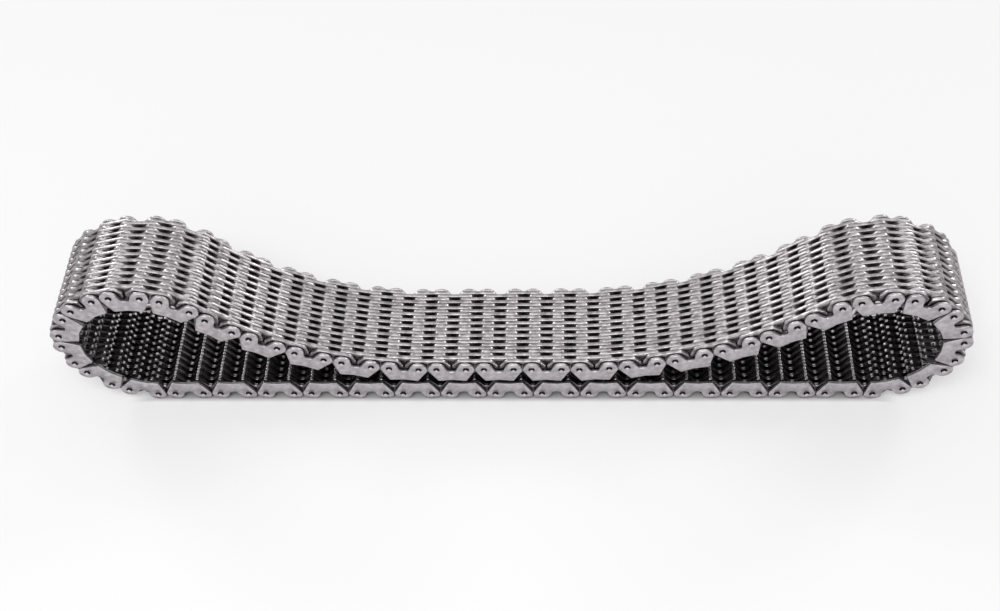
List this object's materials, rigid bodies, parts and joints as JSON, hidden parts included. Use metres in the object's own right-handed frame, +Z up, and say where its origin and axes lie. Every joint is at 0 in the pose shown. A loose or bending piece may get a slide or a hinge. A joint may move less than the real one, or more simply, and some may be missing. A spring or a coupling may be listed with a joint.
{
  "type": "silent chain",
  "caption": "Endless inverted-tooth drive chain of rocker-pinned links with side guide plates, set down slack.",
  "frame": {"origin": "middle of the footprint, on the surface that the chain stands on", "axes": "+Z up; +X along the bottom run, the chain's longest way; +Y across the chain's width, along its pins"},
  "size_m": [0.3389, 0.0374, 0.07],
  "materials": {
    "guide_steel": "blanked, tumbled and lightly oiled steel",
    "inner_steel": "bright plate edges, lightly oiled"
  },
  "bodies": {
    "bottom_run": {"bottom_run_middle": "guide_steel", "bottom_run_R1": "guide_steel", "bottom_run_R2": "guide_steel", "bottom_run_L1": "guide_steel", "bottom_run_L2": "guide_steel", "bottom_run_R_end": "guide_steel", "bottom_run_L_end": "guide_steel"},
    "guide_link_R16": {"guide_link_R16": "guide_steel"},
    "inner_link_R17": {"inner_link_R17": "inner_steel"},
    "guide_link_R18": {"guide_link_R18": "guide_steel"},
    "inner_link_R19": {"inner_link_R19": "inner_steel"},
    "guide_link_R20": {"guide_link_R20": "guide_steel"},
    "inner_link_R21": {"inner_link_R21": "inner_steel"},
    "guide_link_R22": {"guide_link_R22": "guide_steel"},
    "inner_link_R23": {"inner_link_R23": "inner_steel"},
    "guide_link_R24": {"guide_link_R24": "guide_steel"},
    "inner_link_R25": {"inner_link_R25": "inner_steel"},
    "guide_link_R26": {"guide_link_R26": "guide_steel"},
    "inner_link_R27": {"inner_link_R27": "inner_steel"},
    "guide_link_R28": {"guide_link_R28": "guide_steel"},
    "inner_link_R29": {"inner_link_R29": "inner_steel"},
    "guide_link_R30": {"guide_link_R30": "guide_steel"},
    "inner_link_R31": {"inner_link_R31": "inner_steel"},
    "guide_link_R32": {"guide_link_R32": "guide_steel"},
    "inner_link_R33": {"inner_link_R33": "inner_steel"},
    "guide_link_R34": {"guide_link_R34": "guide_steel"},
    "inner_link_R35": {"inner_link_R35": "inner_steel"},
    "guide_link_R36": {"guide_link_R36": "guide_steel"},
    "inner_link_R37": {"inner_link_R37": "inner_steel"},
    "guide_link_R38": {"guide_link_R38": "guide_steel"},
    "inner_link_R39": {"inner_link_R39": "inner_steel"},
    "guide_link_R40": {"guide_link_R40": "guide_steel"},
    "inner_link_R41": {"inner_link_R41": "inner_steel"},
    "guide_link_R42": {"guide_link_R42": "guide_steel"},
    "guide_link_L16": {"guide_link_L16": "guide_steel"},
    "inner_link_L17": {"inner_link_L17": "inner_steel"},
    "guide_link_L18": {"guide_link_L18": "guide_steel"},
    "inner_link_L19": {"inner_link_L19": "inner_steel"},
    "guide_link_L20": {"guide_link_L20": "guide_steel"},
    "inner_link_L21": {"inner_link_L21": "inner_steel"},
    "guide_link_L22": {"guide_link_L22": "guide_steel"},
    "inner_link_L23": {"inner_link_L23": "inner_steel"},
    "guide_link_L24": {"guide_link_L24": "guide_steel"},
    "inner_link_L25": {"inner_link_L25": "inner_steel"},
    "guide_link_L26": {"guide_link_L26": "guide_steel"},
    "inner_link_L27": {"inner_link_L27": "inner_steel"},
    "guide_link_L28": {"guide_link_L28": "guide_steel"},
    "inner_link_L29": {"inner_link_L29": "inner_steel"},
    "guide_link_L30": {"guide_link_L30": "guide_steel"},
    "inner_link_L31": {"inner_link_L31": "inner_steel"},
    "guide_link_L32": {"guide_link_L32": "guide_steel"},
    "inner_link_L33": {"inner_link_L33": "inner_steel"},
    "guide_link_L34": {"guide_link_L34": "guide_steel"},
    "inner_link_L35": {"inner_link_L35": "inner_steel"},
    "guide_link_L36": {"guide_link_L36": "guide_steel"},
    "inner_link_L37": {"inner_link_L37": "inner_steel"},
    "guide_link_L38": {"guide_link_L38": "guide_steel"},
    "inner_link_L39": {"inner_link_L39": "inner_steel"},
    "guide_link_L40": {"guide_link_L40": "guide_steel"},
    "inner_link_L41": {"inner_link_L41": "inner_steel"}
  },
  "joints": [
    {"name": "joint_R16", "type": "hinge", "parent": "bottom_run", "child": "guide_link_R16", "pos_m": [0.1403, 0, 0.0036], "axis": [0, 1, 0], "range_deg": [0, 0.9712]},
    {"name": "joint_R17", "type": "hinge", "parent": "guide_link_R16", "child": "inner_link_R17", "pos_m": [0.14889, 0, 0.00627], "axis": [0, 1, 0], "range_deg": [0, 0.9713]},
    {"name": "joint_R18", "type": "hinge", "parent": "inner_link_R17", "child": "guide_link_R18", "pos_m": [0.15631, 0, 0.01138], "axis": [0, 1, 0], "range_deg": [0, 0.9713]},
    {"name": "joint_R19", "type": "hinge", "parent": "guide_link_R18", "child": "inner_link_R19", "pos_m": [0.16187, 0, 0.01845], "axis": [0, 1, 0], "range_deg": [0, 0.9713]},
    {"name": "joint_R20", "type": "hinge", "parent": "inner_link_R19", "child": "guide_link_R20", "pos_m": [0.16508, 0, 0.02686], "axis": [0, 1, 0], "range_deg": [0, 0.9713]},
    {"name": "joint_R21", "type": "hinge", "parent": "guide_link_R20", "child": "inner_link_R21", "pos_m": [0.16565, 0, 0.03584], "axis": [0, 1, 0], "range_deg": [0, 0.9713]},
    {"name": "joint_R22", "type": "hinge", "parent": "inner_link_R21", "child": "guide_link_R22", "pos_m": [0.16352, 0, 0.04459], "axis": [0, 1, 0], "range_deg": [0, 0.4688]},
    {"name": "joint_R23", "type": "hinge", "parent": "guide_link_R22", "child": "inner_link_R23", "pos_m": [0.1589, 0, 0.05231], "axis": [0, 1, 0], "range_deg": [0, 0.4688]},
    {"name": "joint_R24", "type": "hinge", "parent": "inner_link_R23", "child": "guide_link_R24", "pos_m": [0.15219, 0, 0.05831], "axis": [0, 1, 0], "range_deg": [0, 0.4688]},
    {"name": "joint_R25", "type": "hinge", "parent": "guide_link_R24", "child": "inner_link_R25", "pos_m": [0.144, 0, 0.06204], "axis": [0, 1, 0], "range_deg": [0, 0.4688]},
    {"name": "joint_R26", "type": "hinge", "parent": "inner_link_R25", "child": "guide_link_R26", "pos_m": [0.13507, 0, 0.06318], "axis": [0, 1, 0], "range_deg": [0, 0.4688]},
    {"name": "joint_R27", "type": "hinge", "parent": "guide_link_R26", "child": "inner_link_R27", "pos_m": [0.12621, 0, 0.06161], "axis": [0, 1, 0], "range_deg": [0, 0.4688]},
    {"name": "joint_R28", "type": "hinge", "parent": "inner_link_R27", "child": "guide_link_R28", "pos_m": [0.11821, 0, 0.05748], "axis": [0, 1, 0], "range_deg": [0, 0.4688]},
    {"name": "joint_R29", "type": "hinge", "parent": "guide_link_R28", "child": "inner_link_R29", "pos_m": [0.11115, 0, 0.0519], "axis": [0, 1, 0], "range_deg": [0, 0.4688]},
    {"name": "joint_R30", "type": "hinge", "parent": "inner_link_R29", "child": "guide_link_R30", "pos_m": [0.10408, 0, 0.04632], "axis": [0, 1, 0], "range_deg": [-0.7368, 0]},
    {"name": "joint_R31", "type": "hinge", "parent": "guide_link_R30", "child": "inner_link_R31", "pos_m": [0.09666, 0, 0.04123], "axis": [0, 1, 0], "range_deg": [-0.7368, 0]},
    {"name": "joint_R32", "type": "hinge", "parent": "inner_link_R31", "child": "guide_link_R32", "pos_m": [0.08892, 0, 0.03664], "axis": [0, 1, 0], "range_deg": [-0.7368, 0]},
    {"name": "joint_R33", "type": "hinge", "parent": "guide_link_R32", "child": "inner_link_R33", "pos_m": [0.08089, 0, 0.03259], "axis": [0, 1, 0], "range_deg": [-0.7368, 0]},
    {"name": "joint_R34", "type": "hinge", "parent": "inner_link_R33", "child": "guide_link_R34", "pos_m": [0.0726, 0, 0.02907], "axis": [0, 1, 0], "range_deg": [-0.7368, 0]},
    {"name": "joint_R35", "type": "hinge", "parent": "guide_link_R34", "child": "inner_link_R35", "pos_m": [0.0641, 0, 0.02612], "axis": [0, 1, 0], "range_deg": [-0.7368, 0]},
    {"name": "joint_R36", "type": "hinge", "parent": "inner_link_R35", "child": "guide_link_R36", "pos_m": [0.05542, 0, 0.02374], "axis": [0, 1, 0], "range_deg": [-0.7368, 0]},
    {"name": "joint_R37", "type": "hinge", "parent": "guide_link_R36", "child": "inner_link_R37", "pos_m": [0.0466, 0, 0.02195], "axis": [0, 1, 0], "range_deg": [-0.7368, 0]},
    {"name": "joint_R38", "type": "hinge", "parent": "inner_link_R37", "child": "guide_link_R38", "pos_m": [0.03768, 0, 0.02075], "axis": [0, 1, 0], "range_deg": [-0.7368, 0]},
    {"name": "joint_R39", "type": "hinge", "parent": "guide_link_R38", "child": "inner_link_R39", "pos_m": [0.0287, 0, 0.02015], "axis": [0, 1, 0], "range_deg": [-0.7368, 0]},
    {"name": "joint_R40", "type": "hinge", "parent": "inner_link_R39", "child": "guide_link_R40", "pos_m": [0.0197, 0, 0.02015], "axis": [0, 1, 0], "range_deg": [-0.7368, 0]},
    {"name": "joint_R41", "type": "hinge", "parent": "guide_link_R40", "child": "inner_link_R41", "pos_m": [0.0107, 0, 0.02015], "axis": [0, 1, 0], "range_deg": [-0.7368, 0]},
    {"name": "joint_R42", "type": "hinge", "parent": "inner_link_R41", "child": "guide_link_R42", "pos_m": [0.0017, 0, 0.02015], "axis": [0, 1, 0], "range_deg": [-0.7368, 0]},
    {"name": "joint_L16", "type": "hinge", "parent": "bottom_run", "child": "guide_link_L16", "pos_m": [-0.1387, 0, 0.0036], "axis": [0, -1, 0], "range_deg": [0, 0.9909]},
    {"name": "joint_L17", "type": "hinge", "parent": "guide_link_L16", "child": "inner_link_L17", "pos_m": [-0.14733, 0, 0.00615], "axis": [0, -1, 0], "range_deg": [0, 0.9909]},
    {"name": "joint_L18", "type": "hinge", "parent": "inner_link_L17", "child": "guide_link_L18", "pos_m": [-0.15489, 0, 0.01103], "axis": [0, -1, 0], "range_deg": [0, 0.9909]},
    {"name": "joint_L19", "type": "hinge", "parent": "guide_link_L18", "child": "inner_link_L19", "pos_m": [-0.16076, 0, 0.01786], "axis": [0, -1, 0], "range_deg": [0, 0.9909]},
    {"name": "joint_L20", "type": "hinge", "parent": "inner_link_L19", "child": "guide_link_L20", "pos_m": [-0.16445, 0, 0.02607], "axis": [0, -1, 0], "range_deg": [0, 0.9909]},
    {"name": "joint_L21", "type": "hinge", "parent": "guide_link_L20", "child": "inner_link_L21", "pos_m": [-0.16567, 0, 0.03498], "axis": [0, -1, 0], "range_deg": [0, 0.9909]},
    {"name": "joint_L22", "type": "hinge", "parent": "inner_link_L21", "child": "guide_link_L22", "pos_m": [-0.16432, 0, 0.04388], "axis": [0, -1, 0], "range_deg": [0, 0.5198]},
    {"name": "joint_L23", "type": "hinge", "parent": "guide_link_L22", "child": "inner_link_L23", "pos_m": [-0.1605, 0, 0.05203], "axis": [0, -1, 0], "range_deg": [0, 0.5198]},
    {"name": "joint_L24", "type": "hinge", "parent": "inner_link_L23", "child": "guide_link_L24", "pos_m": [-0.15454, 0, 0.05877], "axis": [0, -1, 0], "range_deg": [0, 0.5198]},
    {"name": "joint_L25", "type": "hinge", "parent": "guide_link_L24", "child": "inner_link_L25", "pos_m": [-0.14691, 0, 0.06354], "axis": [0, -1, 0], "range_deg": [0, 0.5198]},
    {"name": "joint_L26", "type": "hinge", "parent": "inner_link_L25", "child": "guide_link_L26", "pos_m": [-0.13824, 0, 0.06596], "axis": [0, -1, 0], "range_deg": [0, 0.5198]},
    {"name": "joint_L27", "type": "hinge", "parent": "guide_link_L26", "child": "inner_link_L27", "pos_m": [-0.12924, 0, 0.06583], "axis": [0, -1, 0], "range_deg": [0, 0.5198]},
    {"name": "joint_L28", "type": "hinge", "parent": "inner_link_L27", "child": "guide_link_L28", "pos_m": [-0.12065, 0, 0.06316], "axis": [0, -1, 0], "range_deg": [0, 0.5198]},
    {"name": "joint_L29", "type": "hinge", "parent": "guide_link_L28", "child": "inner_link_L29", "pos_m": [-0.11316, 0, 0.05816], "axis": [0, -1, 0], "range_deg": [0, 0.5198]},
    {"name": "joint_L30", "type": "hinge", "parent": "inner_link_L29", "child": "guide_link_L30", "pos_m": [-0.107, 0, 0.0516], "axis": [0, -1, 0], "range_deg": [-0.7772, 0]},
    {"name": "joint_L31", "type": "hinge", "parent": "guide_link_L30", "child": "inner_link_L31", "pos_m": [-0.10032, 0, 0.04557], "axis": [0, -1, 0], "range_deg": [-0.7772, 0]},
    {"name": "joint_L32", "type": "hinge", "parent": "inner_link_L31", "child": "guide_link_L32", "pos_m": [-0.09318, 0, 0.0401], "axis": [0, -1, 0], "range_deg": [-0.7772, 0]},
    {"name": "joint_L33", "type": "hinge", "parent": "guide_link_L32", "child": "inner_link_L33", "pos_m": [-0.08561, 0, 0.03523], "axis": [0, -1, 0], "range_deg": [-0.7772, 0]},
    {"name": "joint_L34", "type": "hinge", "parent": "inner_link_L33", "child": "guide_link_L34", "pos_m": [-0.07767, 0, 0.03099], "axis": [0, -1, 0], "range_deg": [-0.7772, 0]},
    {"name": "joint_L35", "type": "hinge", "parent": "guide_link_L34", "child": "inner_link_L35", "pos_m": [-0.06941, 0, 0.02742], "axis": [0, -1, 0], "range_deg": [-0.7772, 0]},
    {"name": "joint_L36", "type": "hinge", "parent": "inner_link_L35", "child": "guide_link_L36", "pos_m": [-0.06088, 0, 0.02453], "axis": [0, -1, 0], "range_deg": [-0.7772, 0]},
    {"name": "joint_L37", "type": "hinge", "parent": "guide_link_L36", "child": "inner_link_L37", "pos_m": [-0.05215, 0, 0.02235], "axis": [0, -1, 0], "range_deg": [-0.7772, 0]},
    {"name": "joint_L38", "type": "hinge", "parent": "inner_link_L37", "child": "guide_link_L38", "pos_m": [-0.04327, 0, 0.02088], "axis": [0, -1, 0], "range_deg": [-0.7772, 0]},
    {"name": "joint_L39", "type": "hinge", "parent": "guide_link_L38", "child": "inner_link_L39", "pos_m": [-0.0343, 0, 0.02015], "axis": [0, -1, 0], "range_deg": [-0.7772, 0]},
    {"name": "joint_L40", "type": "hinge", "parent": "inner_link_L39", "child": "guide_link_L40", "pos_m": [-0.0253, 0, 0.02015], "axis": [0, -1, 0], "range_deg": [-0.7772, 0]},
    {"name": "joint_L41", "type": "hinge", "parent": "guide_link_L40", "child": "inner_link_L41", "pos_m": [-0.0163, 0, 0.02015], "axis": [0, -1, 0], "range_deg": [-0.7772, 0]}
  ],
  "couplings": [
    {"joint": "joint_R17", "follows": "joint_R16", "ratio": 1},
    {"joint": "joint_R18", "follows": "joint_R16", "ratio": 1},
    {"joint": "joint_R19", "follows": "joint_R16", "ratio": 1},
    {"joint": "joint_R20", "follows": "joint_R16", "ratio": 1},
    {"joint": "joint_R21", "follows": "joint_R16", "ratio": 1},
    {"joint": "joint_R22", "follows": "joint_R16", "ratio": 0.4826},
    {"joint": "joint_R23", "follows": "joint_R16", "ratio": 0.4826},
    {"joint": "joint_R24", "follows": "joint_R16", "ratio": 0.4826},
    {"joint": "joint_R25", "follows": "joint_R16", "ratio": 0.4826},
    {"joint": "joint_R26", "follows": "joint_R16", "ratio": 0.4826},
    {"joint": "joint_R27", "follows": "joint_R16", "ratio": 0.4826},
    {"joint": "joint_R28", "follows": "joint_R16", "ratio": 0.4826},
    {"joint": "joint_R29", "follows": "joint_R16", "ratio": 0.4826},
    {"joint": "joint_R30", "follows": "joint_R16", "ratio": -0.75855},
    {"joint": "joint_R31", "follows": "joint_R16", "ratio": -0.75855},
    {"joint": "joint_R32", "follows": "joint_R16", "ratio": -0.75855},
    {"joint": "joint_R33", "follows": "joint_R16", "ratio": -0.75855},
    {"joint": "joint_R34", "follows": "joint_R16", "ratio": -0.75855},
    {"joint": "joint_R35", "follows": "joint_R16", "ratio": -0.75855},
    {"joint": "joint_R36", "follows": "joint_R16", "ratio": -0.75855},
    {"joint": "joint_R37", "follows": "joint_R16", "ratio": -0.75855},
    {"joint": "joint_R38", "follows": "joint_R16", "ratio": -0.75855},
    {"joint": "joint_R39", "follows": "joint_R16", "ratio": -0.75855},
    {"joint": "joint_R40", "follows": "joint_R16", "ratio": -0.75855},
    {"joint": "joint_R41", "follows": "joint_R16", "ratio": -0.75855},
    {"joint": "joint_R42", "follows": "joint_R16", "ratio": -0.75855},
    {"joint": "joint_L16", "follows": "joint_R16", "ratio": 1.0202},
    {"joint": "joint_L17", "follows": "joint_R16", "ratio": 1.0202},
    {"joint": "joint_L18", "follows": "joint_R16", "ratio": 1.0202},
    {"joint": "joint_L19", "follows": "joint_R16", "ratio": 1.0202},
    {"joint": "joint_L20", "follows": "joint_R16", "ratio": 1.0202},
    {"joint": "joint_L21", "follows": "joint_R16", "ratio": 1.0202},
    {"joint": "joint_L22", "follows": "joint_R16", "ratio": 0.53511},
    {"joint": "joint_L23", "follows": "joint_R16", "ratio": 0.53511},
    {"joint": "joint_L24", "follows": "joint_R16", "ratio": 0.53511},
    {"joint": "joint_L25", "follows": "joint_R16", "ratio": 0.53511},
    {"joint": "joint_L26", "follows": "joint_R16", "ratio": 0.53511},
    {"joint": "joint_L27", "follows": "joint_R16", "ratio": 0.53511},
    {"joint": "joint_L28", "follows": "joint_R16", "ratio": 0.53511},
    {"joint": "joint_L29", "follows": "joint_R16", "ratio": 0.53511},
    {"joint": "joint_L30", "follows": "joint_R16", "ratio": -0.80014},
    {"joint": "joint_L31", "follows": "joint_R16", "ratio": -0.80014},
    {"joint": "joint_L32", "follows": "joint_R16", "ratio": -0.80014},
    {"joint": "joint_L33", "follows": "joint_R16", "ratio": -0.80014},
    {"joint": "joint_L34", "follows": "joint_R16", "ratio": -0.80014},
    {"joint": "joint_L35", "follows": "joint_R16", "ratio": -0.80014},
    {"joint": "joint_L36", "follows": "joint_R16", "ratio": -0.80014},
    {"joint": "joint_L37", "follows": "joint_R16", "ratio": -0.80014},
    {"joint": "joint_L38", "follows": "joint_R16", "ratio": -0.80014},
    {"joint": "joint_L39", "follows": "joint_R16", "ratio": -0.80014},
    {"joint": "joint_L40", "follows": "joint_R16", "ratio": -0.80014},
    {"joint": "joint_L41", "follows": "joint_R16", "ratio": -0.80014}
  ]
}
